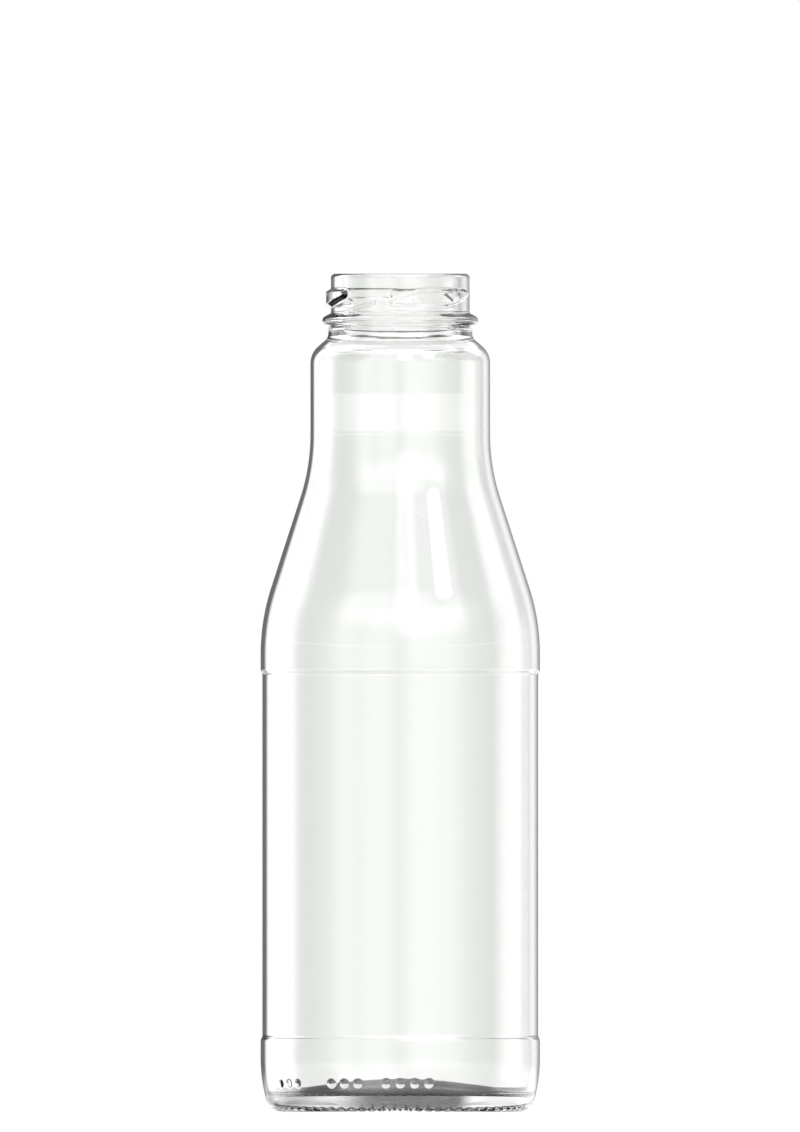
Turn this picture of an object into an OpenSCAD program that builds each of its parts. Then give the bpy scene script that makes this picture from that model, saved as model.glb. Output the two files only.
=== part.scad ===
// One-litre glass milk bottle with a wide twist-off mouth, blown in one piece.
// The origin is on the axis, on the plane the bottle stands on. +Z points up through the mouth, -Y is the front.
// The outside is one turned profile, the cavity is another, and the lugs, mould dots and base notches sit on them.

/* [Body] */
// Overall height, from the standing plane to the rim
bottle_h = 264; // [250:1:280]
// Outside diameter at the shoulder and the heel, the widest parts
body_d = 88; // [84:0.5:94]
// Depth of the label panel below the shoulder and the heel
panel_depth = 0.56; // [0.3:0.02:0.9]
// Height of the label panel's lower edge
panel_low_z = 24.2; // [22:0.1:30]
// Height of the label panel's upper edge
panel_high_z = 137.4; // [120:0.1:138]
// Height of the sloping step at each edge of the label panel
panel_step_h = 2.1; // [1.6:0.1:2.4]

/* [Shoulder and neck] */
// Height at which the shoulder starts to turn inwards
shoulder_z = 144.1; // [142:0.1:150]
// Radius of the outward curve of the shoulder
shoulder_r = 68; // [50:0.5:75]
// Radius of the inward curve between the shoulder's slope and the neck bulge
hollow_r = 64; // [50:0.5:72]
// Distance from the rim down to the foot of the neck bulge
bulge_low_drop = 50.6; // [46:0.1:54]
// Distance from the rim down to where the neck bulge turns in to the collar
bulge_high_drop = 28.2; // [27.5:0.1:30]
// Outside diameter of the neck bulge
bulge_d = 56.6; // [54:0.2:58]
// Radius of the neck bulge's outward curve at its top
bulge_top_r = 7; // [5:0.1:7.5]
// Radius of the inward curve between the neck bulge and the collar
collar_fillet_r = 3.2; // [2:0.1:3.6]
// Distance from the rim down to where the collar starts to turn out to the bulge
collar_drop = 18.7; // [18.2:0.1:19]
// Outside diameter of the collar between the bulge and the bead
collar_d = 45.3; // [44.6:0.1:46]

/* [Mouth] */
// Outside diameter of the mouth under the lugs
mouth_d = 43.7; // [42:0.1:44.4]
// Inside diameter of the mouth
bore_d = 36.9; // [35:0.1:38]
// Length of the straight bore below the rounded rim
bore_h = 16.5; // [15:0.5:17]
// Rounding of the rim's outer edge
rim_outer_r = 1.3; // [0.8:0.1:1.4]
// Rounding of the rim's inner edge
rim_inner_r = 1; // [0.6:0.1:1.2]
// Outside diameter of the bead below the lugs
bead_d = 49.1; // [48:0.1:50]
// Radius of the bead's nose
bead_nose_r = 1.5; // [1.2:0.05:1.6]
// Distance from the rim down to the middle of the bead
bead_drop = 14.75; // [14.4:0.05:15]
// Distance from the rim down to where the bead's upper slope meets the mouth
bead_slope_drop = 12.4; // [12:0.1:12.8]

/* [Lugs] */
// Number of lugs round the mouth
lug_count = 3; // [3:1:4]
// Direction of the first lug's blunt end, anticlockwise from the front
lug_turn = 71; // [0:1:119]
// Angle that one lug covers
lug_span = 80; // [66:1:84]
// Angle of the level part of a lug's upper edge, from its blunt end
lug_level_turn = 50; // [36:1:60]
// Angle of the sloping lead-in under a lug, from its blunt end
lug_lead_turn = 29; // [20:1:34]
// Distance from the rim down to a lug's upper edge
lug_drop = 4.55; // [4:0.05:5.2]
// Height of a lug at its deepest place
lug_h = 6.2; // [5.6:0.1:6.6]
// Height of a lug at its blunt end
lug_blunt_h = 3.4; // [3:0.1:4]
// Height of a lug at its thin end
lug_thin_h = 2.6; // [2.4:0.1:3.2]
// How far a lug stands out from the mouth
lug_relief = 1.55; // [1.2:0.05:1.7]
// Height of the slope on a lug's upper side
lug_top_flank = 0.8; // [0.5:0.1:1]
// Height of the slope on a lug's underside
lug_low_flank = 1.2; // [0.6:0.1:1.3]

/* [Walls] */
// Wall thickness at the shoulder and the heel
body_wall = 3.1; // [2.6:0.1:3.6]
// Wall thickness at the neck bulge
bulge_wall = 2.6; // [2.2:0.1:3.2]
// Radius of the inside curve where the neck opens out below the bore
throat_r = 5; // [4:0.1:5.5]
// Height of the domed floor inside, at its middle
floor_z = 10.3; // [9:0.1:12]
// Radius of the domed floor
floor_r = 147; // [120:1:190]
// Radius of the inside corner between the floor and the heel
corner_r = 2; // [1.5:0.5:6]

/* [Base] */
// Height at which the heel starts to turn inwards
heel_z = 17; // [14:0.1:19]
// Radius of the heel's long, shallow curve
heel_long_r = 50; // [42:0.5:60]
// Radius of the heel's tight curve down to the standing ring
heel_r = 5.7; // [5:0.1:6.6]
// Width of the ring the bottle stands on
ring_w = 3; // [2.4:0.1:3.6]
// Height of the hollow under the base, at its middle
push_up_h = 5; // [3:0.1:5.5]
// Number of notches in the standing ring
notch_count = 72; // [60:12:84]
// Radius of the rounded notch
notch_r = 1.6; // [1.3:0.05:1.8]
// Depth of a notch in the middle of the standing ring
notch_depth = 0.55; // [0.35:0.05:0.6]
// Slope of a notch up the heel
notch_slope = 9; // [6:1:11]

/* [Mould dots] */
// Height of the row of mould dots
dot_z = 8.8; // [8.2:0.1:11]
// Diameter of a mould dot
dot_d = 2.9; // [2.4:0.1:3.2]
// How far a mould dot stands out from the heel
dot_relief = 0.5; // [0.35:0.05:0.7]
// Angle from one place in the row to the next
dot_pitch = 6; // [5.5:0.5:7]

/* [Hidden] */

// Radii that follow from the diameters
body_r = body_d / 2;
panel_r = body_r - panel_depth;
bulge_r = bulge_d / 2;
collar_r = collar_d / 2;
mouth_r = mouth_d / 2;
bore_r = bore_d / 2;
bead_r = bead_d / 2;
cavity_r = body_r - body_wall;
cavity_bulge_r = bulge_r - bulge_wall;

// Heights that are counted down from the rim
bulge_low_z = bottle_h - bulge_low_drop;
bulge_high_z = bottle_h - bulge_high_drop;
collar_z = bottle_h - collar_drop;
bead_z = bottle_h - bead_drop;
bead_slope_z = bottle_h - bead_slope_drop;
bore_low_z = bottle_h - rim_inner_r - bore_h;

// The step at each edge of the label panel is two equal arcs that touch.
step_arc_r = (pow(panel_step_h / 2, 2) + pow(panel_depth / 2, 2)) / panel_depth;

// The heel's tight arc touches the standing plane and, from inside, the long arc.
heel_centre_r = body_r - heel_long_r + sqrt(pow(heel_long_r - heel_r, 2) - pow(heel_z - heel_r, 2));heel_turn = -atan2(heel_z - heel_r, heel_centre_r - body_r + heel_long_r);

// The standing ring's middle, its inner edge and the shallow dome of the hollow under the base
ring_mid_r = heel_centre_r - ring_w / 2;
ring_in_r = heel_centre_r - ring_w;
push_up_r = (pow(ring_in_r, 2) + pow(push_up_h, 2)) / (2 * push_up_h);

// Inside, the heel's long arc runs on with the wall's thickness; the inside corner touches it and the domed floor.
heel_long_x = body_r - heel_long_r;
floor_centre_z = floor_z - floor_r;
centres_run = [-heel_long_x, floor_centre_z - heel_z];
to_corner = heel_long_r - body_wall - corner_r;
corner_along = (pow(to_corner, 2) - pow(floor_r + corner_r, 2) + pow(norm(centres_run), 2)) / (2 * norm(centres_run));
corner_aside = sqrt(pow(to_corner, 2) - pow(corner_along, 2));
corner_centre_r = heel_long_x + (corner_along * centres_run[0] - corner_aside * centres_run[1]) / norm(centres_run);
corner_centre_z = heel_z + (corner_along * centres_run[1] + corner_aside * centres_run[0]) / norm(centres_run);
floor_turn = atan2(corner_centre_z - floor_centre_z, corner_centre_r);
inner_heel_turn = atan2(corner_centre_z - heel_z, corner_centre_r - heel_long_x);

// The bead's upper slope touches its round nose.
bead_nose_x = bead_r - bead_nose_r;
bead_slope_run = norm([bead_nose_x - mouth_r, bead_slope_z - bead_z]);
bead_slope_turn = 180 - atan2(bead_slope_z - bead_z, bead_nose_x - mouth_r) - acos(bead_nose_r / bead_slope_run);

// A mould dot is the cap of a ball that sits square on the heel.
dot_ball_r = (pow(dot_d / 2, 2) + pow(dot_relief, 2)) / (2 * dot_relief);
dot_tilt = -asin((heel_z - dot_z) / heel_long_r);
dot_places = [-10, -9, -8, -5, -4, -3, -1, 0, 1, 2]; // in pitches from the front, anticlockwise

// Measures of the shapes that are cut away or rooted in the wall
lug_root = 0.8;       // how deep a lug is rooted in the wall
lug_end_turn = 6;     // angle over which a lug's end is rounded
lug_end_steps = 4;    // sections in a rounded end
lug_step = 4;         // largest angle between two sections of a lug
lug_end_h = 0.55;     // share of the height that is left at a lug's very end
notch_in = 2;         // how far a notch starts inside the standing ring
notch_out = 8;        // how far a notch reaches past the standing ring
overlap = 1;          // how far a cutting shape reaches past a face

arc_steps = 16;       // chords in a long arc of a profile
small_steps = 6;      // chords in a short arc of a profile
turn_fn = 120;        // sides of a turned body
small_fn = 24;        // sides of a dot or a notch

// Points of an arc about [x, y] from angle a to angle b.
function arc(x, y, r, a, b, steps = arc_steps) =
    [for (i = [0:steps]) let (t = a + (b - a) * i / steps) [x + r * cos(t), y + r * sin(t)]];

// An S from the upright line through [r0, z0] to the one through [r1, z1]: an arc of radius a, a straight, an arc of radius b.
function s_curve(r0, z0, a, r1, z1, b, steps = arc_steps) =
    let (
        side = r0 > r1 ? 1 : -1,
        dx = side * (r1 - r0) + a + b,
        dz = z1 - z0,
        turn = atan2(dz, dx) - acos(min(1, (a + b) / norm([dx, dz])))
    )
    concat(
        [for (p = arc(-a, z0, a, 0, turn, steps)) [r0 + side * p[0], p[1]]],
        [for (p = arc(dx - a, z1, b, 180 + turn, 180, steps)) [r0 + side * p[0], p[1]]]
    );

function reversed(list) = [for (i = [len(list) - 1:-1:0]) list[i]];

// The outside of the bottle, from the middle of the base up to the rim and in to the axis.
function outside_profile() = concat(
    arc(0, push_up_h - push_up_r, push_up_r, 90, 90 - asin(ring_in_r / push_up_r)),
    arc(heel_centre_r, heel_r, heel_r, -90, heel_turn),
    arc(body_r - heel_long_r, heel_z, heel_long_r, heel_turn, 0),
    s_curve(body_r, panel_low_z - panel_step_h, step_arc_r, panel_r, panel_low_z, step_arc_r, small_steps),
    s_curve(panel_r, panel_high_z, step_arc_r, body_r, panel_high_z + panel_step_h, step_arc_r, small_steps),
    s_curve(body_r, shoulder_z, shoulder_r, bulge_r, bulge_low_z, hollow_r),
    s_curve(bulge_r, bulge_high_z, bulge_top_r, collar_r, collar_z, collar_fillet_r, small_steps),
    [[collar_r, bead_z - bead_nose_r]],
    arc(bead_nose_x, bead_z, bead_nose_r, -90, bead_slope_turn, small_steps),
    [[mouth_r, bead_slope_z]],
    arc(mouth_r - rim_outer_r, bottle_h - rim_outer_r, rim_outer_r, 0, 90, small_steps),
    [[0, bottle_h]]
);

// The cavity, from the middle of the floor up through the bore and out past the rim.
function cavity_profile() = concat(
    arc(0, floor_centre_z, floor_r, 90, floor_turn),
    arc(corner_centre_r, corner_centre_z, corner_r, 180 + floor_turn, 360 + inner_heel_turn, small_steps),
    arc(heel_long_x, heel_z, heel_long_r - body_wall, inner_heel_turn, 0, small_steps),
    s_curve(cavity_r, shoulder_z, shoulder_r - body_wall, cavity_bulge_r, bulge_low_z, hollow_r + bulge_wall),
    s_curve(cavity_bulge_r, bulge_high_z, bulge_top_r - bulge_wall, bore_r, bore_low_z, throat_r, small_steps),
    arc(bore_r + rim_inner_r, bottle_h - rim_inner_r, rim_inner_r, 180, 90, small_steps),
    [[bore_r + rim_inner_r, bottle_h + overlap], [0, bottle_h + overlap]]
);

// How much of a lug's full relief it has at angle a from its blunt end.
function lug_share(a) =
    let (t = 1 - min(1, min(a, lug_span - a) / lug_end_turn)) sqrt(1 - pow(t, 2));

// The angles at which a lug's sections stand: close together in the rounded ends.
function lug_turns() =
    let (
        end = [for (i = [0:lug_end_steps]) lug_end_turn * (1 - cos(90 * i / lug_end_steps))],
        middle = lug_span - 2 * lug_end_turn,
        count = ceil(middle / lug_step)
    )
    concat(end, [for (i = [1:count - 1]) lug_end_turn + middle * i / count], [for (e = reversed(end)) lug_span - e]);

// The four corners of a lug's section: the root and the crest, above and below.
function lug_section(a) =
    let (
        share = lug_share(a),
        high = bottle_h - lug_drop
            - (lug_h - lug_thin_h) * max(0, a - lug_level_turn) / (lug_span - lug_level_turn),
        low = bottle_h - lug_drop - lug_blunt_h
            - (lug_h - lug_blunt_h) * min(1, a / lug_lead_turn),
        mid = (high + low) / 2,
        half = (high - low) / 2 * (lug_end_h + (1 - lug_end_h) * share),
        crest = lug_relief * share - lug_root / 4 * (1 - share),
        up = lug_top_flank / lug_relief,
        down = lug_low_flank / lug_relief
    )
    [
        [mouth_r - lug_root, mid + half + lug_root * up],
        [mouth_r + crest, mid + half - crest * up],
        [mouth_r + crest, mid - half + crest * down],
        [mouth_r - lug_root, mid - half - lug_root * down]
    ];

// One lug, with its blunt end at the front and the rest clockwise from there, sinking as a right-hand thread does.
module lug() {
    turns = lug_turns();
    last = 4 * (len(turns) - 1);
    points = [for (a = turns) for (p = lug_section(a)) [-p[0] * sin(a), -p[0] * cos(a), p[1]]];
    sides = [for (i = [0:4:last - 4]) for (j = [0:3])
        let (k = (j + 1) % 4)
        each [[i + j, i + 4 + j, i + 4 + k], [i + j, i + 4 + k, i + k]]];
    ends = [[0, 1, 2], [0, 2, 3], [last, last + 2, last + 1], [last, last + 3, last + 2]];
    polyhedron(points, concat(sides, ends), convexity = 4);
}

// One mould dot, at the given angle from the front, anticlockwise.
module dot_ball(a) {
    rotate([0, 0, a])
    translate([0, -body_r + heel_long_r, heel_z])
    rotate([dot_tilt, 0, 0])
    translate([0, -heel_long_r - dot_relief + dot_ball_r, 0])
    sphere(r = dot_ball_r, $fn = small_fn);
}

// One notch in the standing ring, at the given angle from the front.
module notch(a) {
    rotate([0, 0, a])
    translate([0, -ring_mid_r, notch_depth - notch_r])
    rotate([90 - notch_slope, 0, 0])
    translate([0, 0, -notch_in - ring_w / 2])
    cylinder(r = notch_r, h = notch_in + ring_w + notch_out, $fn = small_fn);
}

module bottle() {
    color([0.93, 0.96, 0.95, 0.35])
    difference() {
        union() {
            rotate_extrude($fn = turn_fn) polygon(outside_profile());
            for (i = [0:lug_count - 1]) rotate([0, 0, lug_turn + 360 * i / lug_count]) lug();
            for (place = dot_places) dot_ball(place * dot_pitch);
        }
        rotate_extrude($fn = turn_fn) polygon(cavity_profile());
        for (i = [0:notch_count - 1]) notch(360 * (i + 0.5) / notch_count);
    }
}

bottle();
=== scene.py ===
import math
import bpy
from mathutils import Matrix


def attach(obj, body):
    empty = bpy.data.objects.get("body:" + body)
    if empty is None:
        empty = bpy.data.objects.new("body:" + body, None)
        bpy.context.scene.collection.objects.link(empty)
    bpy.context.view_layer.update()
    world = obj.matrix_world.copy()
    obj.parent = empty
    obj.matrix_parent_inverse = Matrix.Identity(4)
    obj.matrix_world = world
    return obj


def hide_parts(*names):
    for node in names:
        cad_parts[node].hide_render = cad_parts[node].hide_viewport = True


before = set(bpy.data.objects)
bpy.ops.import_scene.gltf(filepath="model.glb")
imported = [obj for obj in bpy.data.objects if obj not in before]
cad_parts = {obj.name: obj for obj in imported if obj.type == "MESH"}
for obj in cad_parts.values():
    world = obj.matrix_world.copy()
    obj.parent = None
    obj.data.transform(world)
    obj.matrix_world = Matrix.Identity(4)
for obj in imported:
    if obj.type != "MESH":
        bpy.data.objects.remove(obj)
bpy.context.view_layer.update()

# --- The bottle's blank -------------------------------------------------------------------------
# The real bottle is one piece of clear flint glass, blown into a two-part mould. Its wall is drawn
# as one closed skin: up the outside, over the rim, down the inside and across the floor. The skin
# starts flat as a half section, with every ring of points lying on top of the next turn.

MM = 0.001
BOTTLE_H = 264.0
BODY_R, PANEL_R = 44.0, 43.44
BULGE_R, COLLAR_R, BEAD_R, MOUTH_R, BORE_R = 28.3, 22.65, 24.55, 21.85, 18.45
BODY_WALL, BULGE_WALL = 3.1, 2.6


def arc(x, z, r, start, end, steps):
    """Points of an arc about (x, z), from one angle to another."""
    angles = [math.radians(start + (end - start) * i / steps) for i in range(steps + 1)]
    return [(x + r * math.cos(a), z + r * math.sin(a)) for a in angles]


def line(start, end, steps):
    """Points of a straight stretch, without its first one."""
    return [
        tuple(s + (e - s) * i / steps for s, e in zip(start, end)) for i in range(1, steps + 1)
    ]


def upright(radius, low, high, hold=0.4, steps=2):
    """A straight wall between two curves, with a ring close to each end to hold its light level."""
    inner = line((radius, low + hold), (radius, high - hold), steps)
    return [(radius, low), (radius, low + hold)] + inner + [(radius, high)]


def s_curve(r0, z0, first, r1, z1, second, steps, middle):
    """An S between two upright lines: an arc, a straight stretch and an arc."""
    side = 1 if r0 > r1 else -1
    dx, dz = side * (r1 - r0) + first + second, z1 - z0
    tilt = math.acos(min(1, (first + second) / math.hypot(dx, dz)))
    turn = math.degrees(math.atan2(dz, dx) - tilt)
    up = [(r0 + side * x, z) for x, z in arc(-first, z0, first, 0, turn, steps)]
    down = [(r0 + side * x, z) for x, z in arc(dx - first, z1, second, 180 + turn, 180, steps)]
    return up + line(up[-1], down[0], middle)[:-1] + down


# The base: a hollow inside a standing ring, and a heel of a short curve and a long one
HEEL_R, HEEL_LONG_R, HEEL_Z, RING_W, PUSH_UP_H = 5.7, 50.0, 17.0, 3.0, 5.0
heel_long_x = BODY_R - HEEL_LONG_R
heel_x = heel_long_x + math.sqrt((HEEL_LONG_R - HEEL_R) ** 2 - (HEEL_Z - HEEL_R) ** 2)
heel_turn = -math.degrees(math.atan2(HEEL_Z - HEEL_R, heel_x - heel_long_x))
ring_in = heel_x - RING_W
ring_mid = heel_x - RING_W / 2
push_up_r = (ring_in**2 + PUSH_UP_H**2) / (2 * PUSH_UP_H)
push_up_turn = 90 - math.degrees(math.asin(ring_in / push_up_r))


def push_up(start, end, steps):
    """A stretch of the hollow under the base."""
    return arc(0, PUSH_UP_H - push_up_r, push_up_r, start, end, steps)


def heel(start, end, steps):
    """A stretch of the heel's long curve."""
    return arc(heel_long_x, HEEL_Z, HEEL_LONG_R, start, end, steps)


def on_heel(z):
    """The angle on the heel's long curve at a height."""
    return -math.degrees(math.asin((HEEL_Z - z) / HEEL_LONG_R))


# The label panel, and inside it a wall that stands a little further in than above and below it
PANEL_LOW, PANEL_HIGH, STEP_H, INNER_STEP = 24.2, 137.4, 2.1, 0.4
step_r = ((STEP_H / 2) ** 2 + ((BODY_R - PANEL_R) / 2) ** 2) / (BODY_R - PANEL_R)
inner_step_r = ((STEP_H / 2) ** 2 + (INNER_STEP / 2) ** 2) / INNER_STEP
cavity_r, cavity_bulge_r = BODY_R - BODY_WALL, BULGE_R - BULGE_WALL
cavity_wide_r = cavity_r + INNER_STEP

# The inside's floor and heel, joined by a corner that touches both of their curves
FLOOR_Z, FLOOR_R, CORNER_R = 10.3, 147.0, 2.0
floor_c = FLOOR_Z - FLOOR_R
inner_heel_r = HEEL_LONG_R - BODY_WALL
inner_heel_x = cavity_wide_r - inner_heel_r
run, rise = -inner_heel_x, floor_c - HEEL_Z
far, near = math.hypot(run, rise), inner_heel_r - CORNER_R
part = (near**2 - (FLOOR_R + CORNER_R) ** 2 + far**2) / (2 * far)
off = math.sqrt(near**2 - part**2)
corner_x = inner_heel_x + (part * run - off * rise) / far
corner_z = HEEL_Z + (part * rise + off * run) / far
floor_turn = math.degrees(math.atan2(corner_z - floor_c, corner_x))
inner_heel_turn = math.degrees(math.atan2(corner_z - HEEL_Z, corner_x - inner_heel_x))

# The shoulder, the bulge, the collar and the bore, with the radii of the curves between them
SHOULDER_Z, SHOULDER_R, HOLLOW_R = 144.1, 68.0, 64.0
BULGE_LOW, BULGE_HIGH, COLLAR_Z = BOTTLE_H - 50.6, BOTTLE_H - 28.2, BOTTLE_H - 18.7
BULGE_BEND_R, COLLAR_BEND_R, BORE_BEND_R = 7.0, 3.2, 5.0
RIM_OUT, RIM_IN, BORE_H = 1.3, 1.0, 16.5
bore_z = BOTTLE_H - RIM_IN - BORE_H

# The bead: a rounded nose and a straight slope from it up to the finish
BEAD_Z, BEAD_NOSE_R, SLOPE_Z = BOTTLE_H - 14.75, 1.5, BOTTLE_H - 12.4
bead_x = BEAD_R - BEAD_NOSE_R
slope_run = math.hypot(bead_x - MOUTH_R, SLOPE_Z - BEAD_Z)
slope_turn = (
    180
    - math.degrees(math.atan2(SLOPE_Z - BEAD_Z, bead_x - MOUTH_R))
    - math.degrees(math.acos(BEAD_NOSE_R / slope_run))
)
slope_foot = arc(bead_x, BEAD_Z, BEAD_NOSE_R, slope_turn, slope_turn, 1)[0]

# Stretches of the section, each with the number of points that a ring has there
NOTCHES = 72
COARSE, LUG_FINE, FINE = 3 * NOTCHES, 6 * NOTCHES, 12 * NOTCHES
DOT_Z, DOT_D, DOT_RELIEF = 8.8, 2.9, 0.5
sections = [
    (COARSE // 8, [(0.0, PUSH_UP_H)]),
    (COARSE // 4, push_up(89, 87, 1)),
    (COARSE, push_up(84, push_up_turn + 2, 8)),
    (FINE, push_up(push_up_turn + 0.6, push_up_turn, 1)),
    (FINE, line((ring_in, 0), (heel_x, 0), 5)),
    (FINE, arc(heel_x, HEEL_R, HEEL_R, -90, -41, 8)[1:]),
    (COARSE, arc(heel_x, HEEL_R, HEEL_R, -36, heel_turn, 3)),
    (COARSE, heel(heel_turn, on_heel(DOT_Z - 1.9), 2)[1:]),
    (FINE, heel(on_heel(DOT_Z - 1.6), on_heel(DOT_Z + 1.6), 12)),
    (COARSE, heel(on_heel(DOT_Z + 1.9), 0, 5)),
    (COARSE, upright(BODY_R, HEEL_Z, PANEL_LOW - STEP_H)),
    (COARSE, s_curve(BODY_R, PANEL_LOW - STEP_H, step_r, PANEL_R, PANEL_LOW, step_r, 5, 1)),
    (COARSE, upright(PANEL_R, PANEL_LOW, PANEL_HIGH, steps=4)),
    (COARSE, s_curve(PANEL_R, PANEL_HIGH, step_r, BODY_R, PANEL_HIGH + STEP_H, step_r, 5, 1)),
    (COARSE, upright(BODY_R, PANEL_HIGH + STEP_H, SHOULDER_Z)),
    (COARSE, s_curve(BODY_R, SHOULDER_Z, SHOULDER_R, BULGE_R, BULGE_LOW, HOLLOW_R, 22, 3)),
    (COARSE, upright(BULGE_R, BULGE_LOW, BULGE_HIGH)),
    (COARSE, s_curve(
        BULGE_R, BULGE_HIGH, BULGE_BEND_R, COLLAR_R, COLLAR_Z, COLLAR_BEND_R, 8, 2)),
    (COARSE, [(COLLAR_R, BEAD_Z - BEAD_NOSE_R)]),
    (COARSE, arc(bead_x, BEAD_Z, BEAD_NOSE_R, -90, slope_turn, 10)),
    (COARSE, line(slope_foot, (MOUTH_R, SLOPE_Z), 3)),
    (LUG_FINE, line((MOUTH_R, SLOPE_Z + 0.3), (MOUTH_R, BOTTLE_H - 3.2), 28)),
    (COARSE, arc(MOUTH_R - RIM_OUT, BOTTLE_H - RIM_OUT, RIM_OUT, 0, 90, 7)),
    (COARSE, arc(BORE_R + RIM_IN, BOTTLE_H - RIM_IN, RIM_IN, 90, 180, 6)),
    (COARSE, upright(BORE_R, bore_z, BOTTLE_H - RIM_IN)[::-1]),
    (COARSE, s_curve(
        cavity_bulge_r, BULGE_HIGH, BULGE_BEND_R - BULGE_WALL,
        BORE_R, bore_z, BORE_BEND_R, 8, 2)[::-1]),
    (COARSE, upright(cavity_bulge_r, BULGE_LOW, BULGE_HIGH)[::-1]),
    (COARSE, s_curve(
        cavity_wide_r, SHOULDER_Z, SHOULDER_R - BODY_WALL,
        cavity_bulge_r, BULGE_LOW, HOLLOW_R + BULGE_WALL, 22, 3)[::-1]),
    (COARSE, s_curve(
        cavity_r, PANEL_HIGH, inner_step_r,
        cavity_wide_r, PANEL_HIGH + STEP_H, inner_step_r, 5, 1)[::-1]),
    (COARSE, upright(cavity_r, PANEL_LOW, PANEL_HIGH, steps=4)[::-1]),
    (COARSE, s_curve(
        cavity_wide_r, PANEL_LOW - STEP_H, inner_step_r,
        cavity_r, PANEL_LOW, inner_step_r, 5, 1)[::-1]),
    (COARSE, upright(cavity_wide_r, HEEL_Z, PANEL_LOW - STEP_H)[::-1]),
    (COARSE, arc(inner_heel_x, HEEL_Z, inner_heel_r, 0, inner_heel_turn, 5)),
    (COARSE, arc(corner_x, corner_z, CORNER_R, 360 + inner_heel_turn, 180 + floor_turn, 8)),
    (COARSE, arc(0, floor_c, FLOOR_R, floor_turn, 86, 6)[1:]),
    (COARSE // 4, arc(0, floor_c, FLOOR_R, 87.6, 89, 1)),
    (COARSE // 8, [(0.0, FLOOR_Z)]),
]
SAME_POINT = 1e-4
rings = [(p, count) for count, points in sections for p in points]
rings = [
    r for i, r in enumerate(rings) if i == 0 or math.dist(r[0], rings[i - 1][0]) > SAME_POINT
]
rim_ring = max(range(len(rings)), key=lambda i: rings[i][0][1])

# The way out of the glass at each ring, square to the section
outs = []
for i in range(len(rings)):
    (xa, za), _ = rings[max(i - 1, 0)]
    (xb, zb), _ = rings[min(i + 1, len(rings) - 1)]
    stretch = math.hypot(xb - xa, zb - za)
    outs.append(((zb - za) / stretch, (xa - xb) / stretch))

# Every point knows its turn about the axis, whether it is outside, and its way out of the glass
verts, turns, skins, out_x, out_z, faces, starts = [], [], [], [], [], [], []
for i, ((x, z), count) in enumerate(rings):
    starts.append(len(verts))
    if x == 0:
        count = 1
    for j in range(count):
        verts.append((x * MM, 0, z * MM))
        turns.append(2 * math.pi * j / count)
        skins.append(1.0 if i < rim_ring else 0.0)
        out_x.append(outs[i][0] if x else 0.0)
        out_z.append(outs[i][1])
starts.append(len(verts))
for lo, hi, end in zip(starts, starts[1:], starts[2:]):
    a, b = hi - lo, end - hi
    if a == 1:
        faces += [(lo, hi + (j + 1) % b, hi + j) for j in range(b)]
    elif b == 1:
        faces += [(lo + j, lo + (j + 1) % a, hi) for j in range(a)]
    elif a == b:
        faces += [(lo + j, lo + (j + 1) % a, hi + (j + 1) % a, hi + j) for j in range(a)]
    elif b > a:
        k = b // a
        for j in range(a):
            fan = [hi + (j * k + n) % b for n in range(k + 1)]
            mid = k // 2
            faces += [(lo + j, fan[n + 1], fan[n]) for n in range(mid)]
            faces.append((lo + j, lo + (j + 1) % a, fan[mid]))
            faces += [(lo + (j + 1) % a, fan[n + 1], fan[n]) for n in range(mid, k)]
    else:
        k = a // b
        for j in range(b):
            fan = [lo + (j * k + n) % a for n in range(k + 1)]
            mid = k // 2
            faces += [(fan[n], fan[n + 1], hi + j) for n in range(mid)]
            faces.append((fan[mid], hi + (j + 1) % b, hi + j))
            faces += [(fan[n], fan[n + 1], hi + (j + 1) % b) for n in range(mid, k)]

blank = bpy.data.meshes.new("bottle_blank")
blank.from_pydata(verts, [], faces)
for name, values in (("turn", turns), ("skin", skins), ("out_x", out_x), ("out_z", out_z)):
    blank.attributes.new(name, "FLOAT", "POINT").data.foreach_set("value", values)
bottle = bpy.data.objects.new("bottle_glass", blank)
bpy.context.collection.objects.link(bottle)

# --- The glass ----------------------------------------------------------------------------------
# Clear flint glass, with the slight grey-green of its iron and the fire-polished skin of a blow
# mould: smooth, but faintly wavy where the mould's wall chilled it.

CLEAR, CLEAR_MORE_IRON, CLEAR_LESS_IRON = (
    (0.936, 0.946, 0.932, 1), (0.934, 0.945, 0.930, 1), (0.939, 0.947, 0.935, 1),
)
glass = bpy.data.materials.new("flint_glass")
glass.use_nodes = True
shader = glass.node_tree.nodes["Principled BSDF"]
shader.inputs["Base Color"].default_value = CLEAR
shader.inputs["Roughness"].default_value = 0.0
shader.inputs["IOR"].default_value = 1.52
shader.inputs["Transmission Weight"].default_value = 1.0
nodes, links = glass.node_tree.nodes, glass.node_tree.links
drawn = nodes.new("ShaderNodeMapping")
drawn.inputs["Scale"].default_value = (1.0, 1.0, 0.25)
links.new(nodes.new("ShaderNodeTexCoord").outputs["Object"], drawn.inputs["Vector"])
waves = nodes.new("ShaderNodeTexNoise")
waves.inputs["Scale"].default_value = 70.0
waves.inputs["Detail"].default_value = 1.0
links.new(drawn.outputs["Vector"], waves.inputs["Vector"])
bump = nodes.new("ShaderNodeBump")
bump.inputs["Strength"].default_value = 0.35
bump.inputs["Distance"].default_value = 0.004 * MM
links.new(waves.outputs["Fac"], bump.inputs["Height"])
links.new(bump.outputs["Normal"], shader.inputs["Normal"])
streaks = nodes.new("ShaderNodeTexNoise")
streaks.inputs["Scale"].default_value = 18.0
links.new(drawn.outputs["Vector"], streaks.inputs["Vector"])
tint = nodes.new("ShaderNodeMix")
tint.data_type = "RGBA"
tint.inputs["A"].default_value = CLEAR_MORE_IRON
tint.inputs["B"].default_value = CLEAR_LESS_IRON
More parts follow.
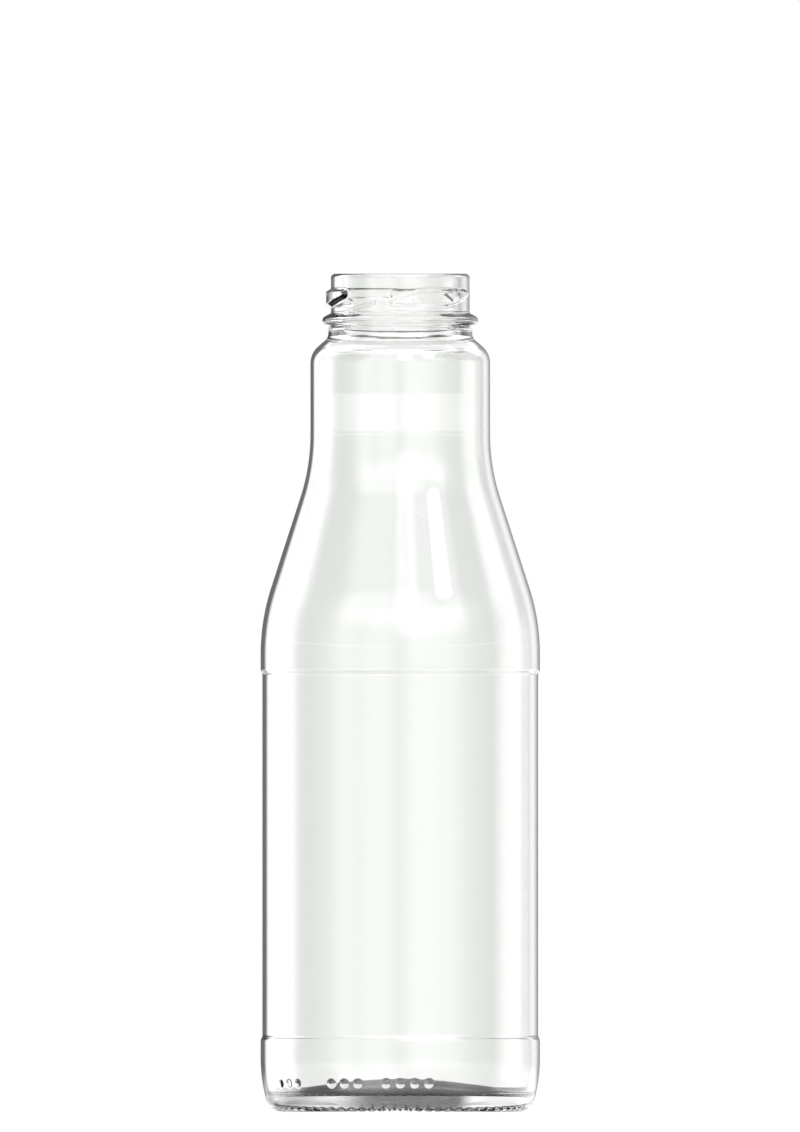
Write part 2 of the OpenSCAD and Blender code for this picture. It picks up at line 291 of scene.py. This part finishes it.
links.new(streaks.outputs["Fac"], tint.inputs["Factor"])
links.new(tint.outputs["Result"], shader.inputs["Base Color"])

# --- Rolling the blank up -----------------------------------------------------------------------
# The mould's finer work: three lugs round the mouth that a twist-off cap turns under, a row of
# mould dots on the heel and the notched standing ring. Each is raised from, or sunk into, the
# skin by a rule, and then the blank is turned about the axis.

roll = bpy.data.node_groups.new("roll_bottle", "GeometryNodeTree")
roll.interface.new_socket("Geometry", in_out="INPUT", socket_type="NodeSocketGeometry")
roll.interface.new_socket("Geometry", in_out="OUTPUT", socket_type="NodeSocketGeometry")
sizes = {
    "Rim Height": BOTTLE_H,
    "Lug Count": 3.0, "Lug Turn": -19.0, "Lug Span": 80.0, "Lug Level Turn": 50.0,
    "Lug Lead Turn": 29.0, "Lug Drop": 4.55, "Lug Height": 6.2, "Lug Blunt Height": 3.4,
    "Lug Thin Height": 2.6, "Lug Relief": 1.55, "Lug Top Flank": 1.35, "Lug Low Flank": 1.5,
    "Lug End Turn": 6.0, "Ridge Relief": 0.35, "Ridge Flank": 0.45, "Ledge Relief": 0.8,
    "Dot Height": DOT_Z, "Dot Radius": DOT_D / 2, "Dot Relief": DOT_RELIEF, "Dot Pitch": 6.0,
    "Notch Count": float(NOTCHES), "Notch Radius": 1.6, "Notch Depth": 0.55, "Notch Slope": 9.0,
    "Notch Softness": 0.12, "Ring Radius": ring_mid, "Ring Inner Radius": ring_in,
}
sockets = {}
for name, value in sizes.items():
    s = roll.interface.new_socket(name, in_out="INPUT", socket_type="NodeSocketFloat")
    s.default_value = value
    sockets[name] = s.identifier
roll.interface.new_socket("Glass", in_out="INPUT", socket_type="NodeSocketMaterial")
nodes, links = roll.nodes, roll.links
given = nodes.new("NodeGroupInput")


def calc(operation, *values, clamp=False):
    """A Math node; a value is a number, an input's name or another node's output."""
    n = nodes.new("ShaderNodeMath")
    n.operation, n.use_clamp = operation, clamp
    for socket, value in zip(n.inputs, values):
        if isinstance(value, str):
            links.new(given.outputs[value], socket)
        elif isinstance(value, (int, float)):
            socket.default_value = value
        else:
            links.new(value, socket)
    return n.outputs[0]


def stored(name):
    """A value that the blank holds at each point."""
    n = nodes.new("GeometryNodeInputNamedAttribute")
    n.data_type = "FLOAT"
    n.inputs["Name"].default_value = name
    return n.outputs["Attribute"]


def soft_step(value):
    """0 to 1 with rounded ends."""
    n = nodes.new("ShaderNodeMapRange")
    n.interpolation_type = "SMOOTHSTEP"
    links.new(value, n.inputs["Value"])
    return n.outputs["Result"]


split = nodes.new("ShaderNodeSeparateXYZ")
links.new(nodes.new("GeometryNodeInputPosition").outputs[0], split.inputs[0])
x = calc("MULTIPLY", split.outputs[0], 1 / MM)
z = calc("MULTIPLY", split.outputs[2], 1 / MM)
turn, skin = stored("turn"), stored("skin")
degrees = calc("DEGREES", turn)

# Lugs: a is the angle clockwise from a lug's blunt end. The lead-in rises under the blunt end and
# the top drops towards the thin end; a lug's ends are round and less high than its middle.
LEAST_END = 0.55
FINISH_LOW = 240.0
a = calc("WRAP", calc("SUBTRACT", "Lug Turn", degrees), calc("DIVIDE", 360.0, "Lug Count"), 0.0)
from_end = calc("MINIMUM", a, calc("SUBTRACT", "Lug Span", a))
t = calc("SUBTRACT", 1.0, calc("DIVIDE", from_end, "Lug End Turn", clamp=True))
share = calc("SQRT", calc("SUBTRACT", 1.0, calc("MULTIPLY", t, t)))
past_level = calc(
    "DIVIDE", calc("SUBTRACT", a, "Lug Level Turn"),
    calc("SUBTRACT", "Lug Span", "Lug Level Turn"), clamp=True,
)
thinning = calc("MULTIPLY", past_level, calc("SUBTRACT", "Lug Height", "Lug Thin Height"))
lead = calc("DIVIDE", a, "Lug Lead Turn", clamp=True)
deepening = calc("MULTIPLY", lead, calc("SUBTRACT", "Lug Height", "Lug Blunt Height"))
top = calc("SUBTRACT", "Rim Height", "Lug Drop")
high = calc("SUBTRACT", top, thinning)
low = calc("SUBTRACT", top, calc("ADD", "Lug Blunt Height", deepening))
mid = calc("MULTIPLY", calc("ADD", high, low), 0.5)
half = calc(
    "MULTIPLY", calc("MULTIPLY", calc("SUBTRACT", high, low), 0.5),
    calc("ADD", LEAST_END, calc("MULTIPLY", share, 1 - LEAST_END)),
)
below_top = calc("SUBTRACT", calc("ADD", mid, half), z)
above_foot = calc("SUBTRACT", z, calc("SUBTRACT", mid, half))
over = soft_step(calc("DIVIDE", below_top, "Lug Top Flank"))
under = soft_step(calc("DIVIDE", above_foot, "Lug Low Flank"))
near_mouth = calc("MULTIPLY", skin, calc("GREATER_THAN", z, FINISH_LOW))
lug = calc(
    "MULTIPLY", calc("MULTIPLY", calc("MULTIPLY", over, under), share),
    calc("MULTIPLY", near_mouth, "Lug Relief"),
)

around = calc("WRAP", calc("SUBTRACT", "Lug Turn", degrees), 360.0, 0.0)


def ridge(centre, half_height, start, end):
    """A low ridge of the finish, between two angles clockwise from the first lug's blunt end."""
    inside = calc("SUBTRACT", half_height, calc("ABSOLUTE", calc("SUBTRACT", z, centre)))
    to_end = calc("MINIMUM", calc("SUBTRACT", around, start), calc("SUBTRACT", end, around))
    to_end = calc("MULTIPLY", to_end, 0.35)
    risen = calc("DIVIDE", calc("MINIMUM", inside, to_end), "Ridge Flank")
    return calc("MULTIPLY", soft_step(risen), near_mouth)


# A low ledge runs up to the third lug's blunt end, and a thin ridge carries on the first lug's
# tail, sinking as it goes
TAIL_Z, TAIL_TURN, TAIL_SINK = 254.5, 95.7, 0.109
ledge = ridge(calc("SUBTRACT", top, 1.6), 1.6, 185.0, 250.0)
sunk = calc("MULTIPLY", calc("SUBTRACT", around, TAIL_TURN), TAIL_SINK)
tail = ridge(calc("SUBTRACT", TAIL_Z, sunk), 0.65, 91.0, 125.0)
for low_work, relief in ((ledge, "Ledge Relief"), (tail, "Ridge Relief")):
    lug = calc("MAXIMUM", lug, calc("MULTIPLY", low_work, relief))

# Mould dots: caps of a ball, at the chosen places of a row of equal steps from the front
DOT_PLACES = (-10, -9, -8, -5, -4, -3, -1, 0, 1, 2)
DOT_ROW, HEEL_LEAN = 1.7, 1.015
from_front = calc("SUBTRACT", calc("WRAP", degrees, 450.0, 90.0), 270.0)
place = calc("DIVIDE", from_front, "Dot Pitch")
nearest = calc("ROUND", place)
aside = calc("RADIANS", calc("MULTIPLY", calc("SUBTRACT", place, nearest), "Dot Pitch"))
aside = calc("MULTIPLY", aside, x)
along = calc("MULTIPLY", calc("SUBTRACT", z, "Dot Height"), HEEL_LEAN)
away2 = calc("ADD", calc("MULTIPLY", aside, aside), calc("MULTIPLY", along, along))
radius2 = calc("MULTIPLY", "Dot Radius", "Dot Radius")
relief2 = calc("MULTIPLY", "Dot Relief", "Dot Relief")
ball = calc("DIVIDE", calc("ADD", radius2, relief2), calc("MULTIPLY", 2.0, "Dot Relief"))
ball_side = calc("MAXIMUM", calc("SUBTRACT", calc("MULTIPLY", ball, ball), away2), 0.0)
cap = calc("SUBTRACT", calc("SQRT", ball_side), calc("SUBTRACT", ball, "Dot Relief"))
used = calc("COMPARE", nearest, float(DOT_PLACES[0]), 0.1)
for n in DOT_PLACES[1:]:
    used = calc("MAXIMUM", used, calc("COMPARE", nearest, float(n), 0.1))
near_row = calc("LESS_THAN", calc("ABSOLUTE", calc("SUBTRACT", z, "Dot Height")), DOT_ROW)
near_dots = calc("MULTIPLY", calc("MULTIPLY", skin, near_row), calc("GREATER_THAN", x, 40.0))
dot = calc("MULTIPLY", calc("MAXIMUM", cap, 0.0), calc("MULTIPLY", used, near_dots))

# Notches: the underside rises to the round groove wherever the groove is higher.
notch_turn = calc("DIVIDE", calc("MULTIPLY", degrees, "Notch Count"), 360.0)
off = calc("SUBTRACT", calc("FRACT", notch_turn), 0.5)
side = calc("MULTIPLY", calc("MULTIPLY", off, calc("DIVIDE", 2 * math.pi, "Notch Count")), x)
notch2 = calc("MULTIPLY", "Notch Radius", "Notch Radius")
round_top = calc("SQRT", calc("MAXIMUM", calc("SUBTRACT", notch2, calc("MULTIPLY", side, side)), 0.0))
slope = calc("TANGENT", calc("RADIANS", "Notch Slope"))
sloped = calc("MULTIPLY", calc("SUBTRACT", x, "Ring Radius"), slope)
groove = calc("ADD", calc("SUBTRACT", "Notch Depth", "Notch Radius"), calc("ADD", round_top, sloped))
raised = calc("SMOOTH_MAX", z, groove, "Notch Softness")
outside_hollow = calc("GREATER_THAN", x, calc("SUBTRACT", "Ring Inner Radius", 0.6))
at_ring = calc("MULTIPLY", calc("MULTIPLY", skin, outside_hollow), calc("LESS_THAN", z, 3.0))
sink = calc("MULTIPLY", calc("SUBTRACT", raised, z), at_ring)

relief = calc("ADD", lug, dot)
new_x = calc("ADD", x, calc("MULTIPLY", stored("out_x"), relief))
new_z = calc("ADD", calc("ADD", z, calc("MULTIPLY", stored("out_z"), relief)), sink)
joined = nodes.new("ShaderNodeCombineXYZ")
links.new(calc("MULTIPLY", calc("MULTIPLY", new_x, calc("COSINE", turn)), MM), joined.inputs[0])
links.new(calc("MULTIPLY", calc("MULTIPLY", new_x, calc("SINE", turn)), MM), joined.inputs[1])
links.new(calc("MULTIPLY", new_z, MM), joined.inputs[2])
move = nodes.new("GeometryNodeSetPosition")
links.new(given.outputs["Geometry"], move.inputs["Geometry"])
links.new(joined.outputs[0], move.inputs["Position"])
smooth = nodes.new("GeometryNodeSetShadeSmooth")
links.new(move.outputs[0], smooth.inputs[0])
real = nodes.new("GeometryNodeRealizeInstances")
links.new(smooth.outputs[0], real.inputs[0])
finish = nodes.new("GeometryNodeSetMaterial")
links.new(real.outputs[0], finish.inputs["Geometry"])
links.new(given.outputs["Glass"], finish.inputs["Material"])
leave = nodes.new("NodeGroupOutput")
links.new(finish.outputs[0], leave.inputs[0])

rolling = bottle.modifiers.new("roll", "NODES")
rolling.node_group = roll
for name, value in sizes.items():
    rolling[sockets[name]] = value
rolling[roll.interface.items_tree["Glass"].identifier] = glass
bpy.context.view_layer.update()
rolled = bpy.data.meshes.new_from_object(bottle.evaluated_get(bpy.context.evaluated_depsgraph_get()))
bottle.modifiers.remove(rolling)
bottle.data = rolled
for name in ("turn", "skin", "out_x", "out_z"):
    if name in rolled.attributes:
        rolled.attributes.remove(rolled.attributes[name])
bpy.data.meshes.remove(blank)
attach(bottle, "root")
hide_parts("bottle")

# --- The table ----------------------------------------------------------------------------------
# A wide sheet of pale paper that takes the bottle's shadow. Seen through the glass it glows the white
# of the room instead, with painted shade: the glow is dimmed close to the bottle, as a painted shadow
# of the base.

TABLE_HALF = 3
table_mesh = bpy.data.meshes.new("floor")
table_mesh.from_pydata(
    [(sx * TABLE_HALF, sy * TABLE_HALF, 0) for sx, sy in ((-1, -1), (1, -1), (1, 1), (-1, 1))],
    [], [(0, 1, 2, 3)],
)
table = bpy.data.objects.new("floor", table_mesh)
bpy.context.collection.objects.link(table)
paper = bpy.data.materials.new("paper")
paper.use_nodes = True
nodes, links = paper.node_tree.nodes, paper.node_tree.links
nodes["Principled BSDF"].inputs["Roughness"].default_value = 0.9
nodes["Principled BSDF"].inputs["Base Color"].default_value = (0.96, 0.96, 0.96, 1)
path = nodes.new("ShaderNodeLightPath")
painted_shade_glow, bare, either, both = (
    nodes.new("ShaderNode" + kind)
    for kind in ("Emission", "BsdfTransparent", "MixShader", "MixShader")
)
reach = nodes.new("ShaderNodeVectorMath")
reach.operation = "LENGTH"
links.new(nodes.new("ShaderNodeTexCoord").outputs["Object"], reach.inputs[0])

# Painted shade: the glow is dimmed within a short way of the glass, and within a short way of the
# bottle's axis
painted_shade_fades = []
for way, near, far, least in (
    (path.outputs["Ray Length"], 45, 140, 0.1), (reach.outputs["Value"], 88, 104, 0.0),
):
    painted_shade_fade = nodes.new("ShaderNodeMapRange")
    painted_shade_fade.interpolation_type = "SMOOTHSTEP"
    links.new(way, painted_shade_fade.inputs["Value"])
    painted_shade_fade.inputs["From Min"].default_value = near * MM
    painted_shade_fade.inputs["From Max"].default_value = far * MM
    painted_shade_fade.inputs["To Min"].default_value = least
    painted_shade_fades.append(painted_shade_fade.outputs["Result"])
links.new(calc("MAXIMUM", *painted_shade_fades), painted_shade_glow.inputs["Strength"])
# Rays that came through the glass see the glow with its painted shade instead of the lit paper
links.new(calc("GREATER_THAN", path.outputs["Transmission Depth"], 0.5), either.inputs["Fac"])
links.new(nodes["Principled BSDF"].outputs[0], either.inputs[1])
links.new(painted_shade_glow.outputs[0], either.inputs[2])
links.new(calc("GREATER_THAN", path.outputs["Glossy Depth"], 0.5), both.inputs["Fac"])
links.new(either.outputs[0], both.inputs[1])
links.new(bare.outputs[0], both.inputs[2])
links.new(both.outputs[0], nodes["Material Output"].inputs["Surface"])
table_mesh.materials.append(paper)

# --- The band card ------------------------------------------------------------------------------
# A curved strip of white card, bent round the front at the height of the neck's bulge. It is seen
# only as the level white band that the bulge mirrors.

CARD_LOW, CARD_HIGH, CARD_R, CARD_LIGHT = 214.4, 226.2, 1000.0, 0.62
CARD_START, CARD_PITCH, CARD_POINTS = 88, 4.6, 43
card_turns = [math.radians(CARD_START + i * CARD_PITCH) for i in range(CARD_POINTS)]
card_mesh = bpy.data.meshes.new("band_card")
card_mesh.from_pydata(
    [
        (CARD_R * MM * math.sin(t), CARD_R * MM * math.cos(t), h * MM)
        for h in (CARD_LOW, CARD_HIGH) for t in card_turns
    ],
    [], [(i, i + 1, CARD_POINTS + i + 1, CARD_POINTS + i) for i in range(CARD_POINTS - 1)],
)
card = bpy.data.objects.new("band_card", card_mesh)
bpy.context.collection.objects.link(card)
glow = bpy.data.materials.new("band_glow")
glow.use_nodes = True
nodes, links = glow.node_tree.nodes, glow.node_tree.links
path = nodes.new("ShaderNodeLightPath")
shine, bare = (nodes.new("ShaderNode" + kind) for kind in ("Emission", "BsdfTransparent"))
is_mirrored = calc("GREATER_THAN", path.outputs["Glossy Depth"], 0.5)
links.new(calc("MULTIPLY", is_mirrored, CARD_LIGHT), shine.inputs["Strength"])
add = nodes.new("ShaderNodeAddShader")
links.new(shine.outputs[0], add.inputs[0])
links.new(bare.outputs[0], add.inputs[1])
links.new(add.outputs[0], nodes["Material Output"].inputs["Surface"])
card_mesh.materials.append(glow)

# --- The studio ---------------------------------------------------------------------------------
# A white room. What is seen straight through the glass is the white room; what the glass mirrors is
# a darker room with tall soft boxes, and its edges mirror black flags.

world = bpy.data.worlds.new("studio")
bpy.context.scene.world = world
world.use_nodes = True
nodes, links = world.node_tree.nodes, world.node_tree.links
split = nodes.new("ShaderNodeSeparateXYZ")
links.new(nodes.new("ShaderNodeTexCoord").outputs["Generated"], split.inputs[0])
path = nodes.new("ShaderNodeLightPath")

# Turn from the back of the room, positive to the right, and height over the bottle's level
round_room = calc("DEGREES", calc("ARCTAN2", split.outputs[0], split.outputs[1]))
height = calc("DEGREES", calc("ARCSINE", split.outputs[2]))

# Lean: twice the slope of the wall of glass that mirrors this part of the room to a level eye. A
# light that ends at one lean ends level on the shoulder.
LEAST_FACING = 0.3
facing = calc("SINE", calc("MULTIPLY", calc("ABSOLUTE", calc("RADIANS", round_room)), 0.5))
slant = calc("DIVIDE", split.outputs[2], calc("MAXIMUM", facing, LEAST_FACING))
lean = calc("DEGREES", calc("ARCSINE", calc("MAXIMUM", calc("MINIMUM", slant, 1.0), -1.0)))


def soft_box(centre, width, soft, light):
    """An upright light at a turn from the back of the room, fading over its soft edge."""
    n = nodes.new("ShaderNodeMapRange")
    n.interpolation_type = "SMOOTHSTEP"
    away = calc("WRAP", calc("SUBTRACT", round_room, centre), 180.0, -180.0)
    links.new(calc("ABSOLUTE", away), n.inputs["Value"])
    n.inputs["From Min"].default_value = (width + soft) / 2
    n.inputs["From Max"].default_value = (width - soft) / 2
    n.inputs["To Max"].default_value = light
    return n.outputs["Result"]


def lit(base, boxes):
    """A dim room with its soft boxes."""
    total = base
    for b in boxes:
        total = calc("ADD", total, soft_box(*b))
    return total


def level(low, high, soft, way=None):
    """1 between two heights of the room in degrees, with soft ends."""
    ends = []
    for edge, side in ((low, 1), (high, -1)):
        n = nodes.new("ShaderNodeMapRange")
        n.interpolation_type = "SMOOTHSTEP"
        links.new(way or height, n.inputs["Value"])
        n.inputs["From Min"].default_value = edge - side * soft / 2
        n.inputs["From Max"].default_value = edge + side * soft / 2
        ends.append(n.outputs["Result"])
    return calc("MULTIPLY", *ends)


# The mirrored room: how high each group of lights stands, then its boxes, each with its turn, its
# width, its soft edge and its light
room = (
    (level(-25.0, 80.0, 10.0), [(-58.0, 44.0, 21.0, 2.6), (47.0, 54.0, 40.0, 1.55)]),
    (level(-25.0, 33.8, 4.0, lean), [(-152.0, 52.0, 26.0, 0.9), (162.0, 26.0, 14.0, 1.0)]),
    (level(-25.0, 60.0, 10.0), [(-152.0, 52.0, 26.0, 1.6)]),
    (level(-25.0, 25.0, 16.0), [(124.0, 25.0, 40.0, 1.55)]),
    (level(10.0, 60.0, 10.0), [(174.0, 20.0, 12.0, 2.3), (145.0, 50.0, 12.0, 1.4)]),
)
mirrored = 0.0
for heights, boxes in room:
    mirrored = calc("ADD", mirrored, calc("MULTIPLY", heights, lit(0.0, boxes)))

# The paper as the outside mirrors it, the ceiling and the walls
TABLE_LIGHT, CEILING_LIGHT, WALL_LIGHT, LEAST_LIGHT = 1.2, 2.0, 0.14, 0.06
outer = calc("LESS_THAN", path.outputs["Transmission Depth"], 0.5)
for heights, light in (
    (calc("MULTIPLY", level(-16.0, -3.0, 4.0), outer), TABLE_LIGHT),
    (level(50.0, 95.0, 10.0), CEILING_LIGHT),
    (level(-35.0, 95.0, 10.0), WALL_LIGHT),
):
    mirrored = calc("ADD", mirrored, calc("MULTIPLY", heights, light))

# A bright tube with round ends, which the shoulder mirrors at the right of its middle
TUBE_TURN, TUBE_HALF_W, TUBE_LEAN, TUBE_HALF_H, TUBE_END, TUBE_LIGHT = 136.5, 8.0, 40.2, 5.3, 4.2, 4.0
aside = calc("DIVIDE", calc("ABSOLUTE", calc("SUBTRACT", round_room, TUBE_TURN)), TUBE_HALF_W)
past = calc("SUBTRACT", calc("ABSOLUTE", calc("SUBTRACT", lean, TUBE_LEAN)), TUBE_HALF_H)
past = calc("DIVIDE", calc("MAXIMUM", past, 0.0), TUBE_END)
from_tube = calc("SQRT", calc("ADD", calc("MULTIPLY", aside, aside), calc("MULTIPLY", past, past)))
tube = nodes.new("ShaderNodeMapRange")
tube.interpolation_type = "SMOOTHSTEP"
links.new(from_tube, tube.inputs["Value"])
tube.inputs["From Min"].default_value = 1.08
tube.inputs["From Max"].default_value = 0.92
tube.inputs["To Max"].default_value = TUBE_LIGHT
mirrored = calc("ADD", calc("ADD", mirrored, tube.outputs["Result"]), LEAST_LIGHT)

# Light that the thick base and the bead have led about inside comes out dim
LED_LOSS = 0.9
many_walls = calc("GREATER_THAN", path.outputs["Transmission Depth"], 4.5)
deep = calc("MULTIPLY", many_walls, level(9.0, 60.0, 6.0))
many_turns = calc("GREATER_THAN", path.outputs["Glossy Depth"], 1.5)
guided = calc("MULTIPLY", many_turns, calc("SUBTRACT", 1.0, level(-9.0, 95.0, 4.0)))
loss = calc("MULTIPLY", calc("MAXIMUM", deep, guided), LED_LOSS)
mirrored = calc("MULTIPLY", mirrored, calc("SUBTRACT", 1.0, loss))

# The edges: light that was mirrored once inside the wall comes from beside the flags
flagged = lit(0.12, [
    (-50.5, 56.0, 8.0, 0.93), (0.0, 60.0, 6.0, 0.04),
    (45.0, 59.0, 14.0, 0.33), (27.0, 22.5, 20.0, 0.33),
])
over_flags = calc("MULTIPLY", level(17.0, 70.0, 8.0), soft_box(0.0, 170.0, 10.0, 0.9))
flagged = calc("ADD", flagged, over_flags)
any_mirror = calc("GREATER_THAN", path.outputs["Glossy Depth"], 0.5)
one_wall = calc("COMPARE", path.outputs["Transmission Depth"], 2.0, 0.1)
edge_high = calc("MULTIPLY", level(-16.0, 60.0, 12.0), soft_box(0.0, 170.0, 10.0, 1.0))
edge_heights = calc("MAXIMUM", level(-16.0, 16.0, 12.0), edge_high)
at_edge = calc("MULTIPLY", calc("MULTIPLY", any_mirror, one_wall), edge_heights)
studio = calc(
    "ADD", calc("MULTIPLY", mirrored, calc("SUBTRACT", 1.0, at_edge)),
    calc("MULTIPLY", flagged, at_edge),
)
straight = calc("LESS_THAN", path.outputs["Glossy Depth"], 0.5)
room_light = calc("ADD", straight, calc("MULTIPLY", studio, calc("SUBTRACT", 1.0, straight)))
links.new(room_light, nodes["Background"].inputs["Strength"])
nodes["Background"].inputs["Color"].default_value = (1, 1, 1, 1)
bpy.context.scene.view_settings.view_transform = "Standard"

# --- The camera ---------------------------------------------------------------------------------
# A long lens, level with the bottle, so that uprights stay parallel. A row of the frame is a third
# of a millimetre high.

FRAME_ROWS, ROW = 1132, 0.31507 * MM
EYE_ASIDE, EYE_AWAY, EYE_Z = -0.25 * ROW, -2.0, 171.9 * MM
camera = bpy.data.cameras.new("camera")
camera.type = "ORTHO"
camera.ortho_scale = FRAME_ROWS * ROW
eye = bpy.data.objects.new("camera", camera)
bpy.context.collection.objects.link(eye)
eye.location = (EYE_ASIDE, EYE_AWAY, EYE_Z)
eye.rotation_euler = (math.radians(90), 0, 0)
bpy.context.scene.camera = eye
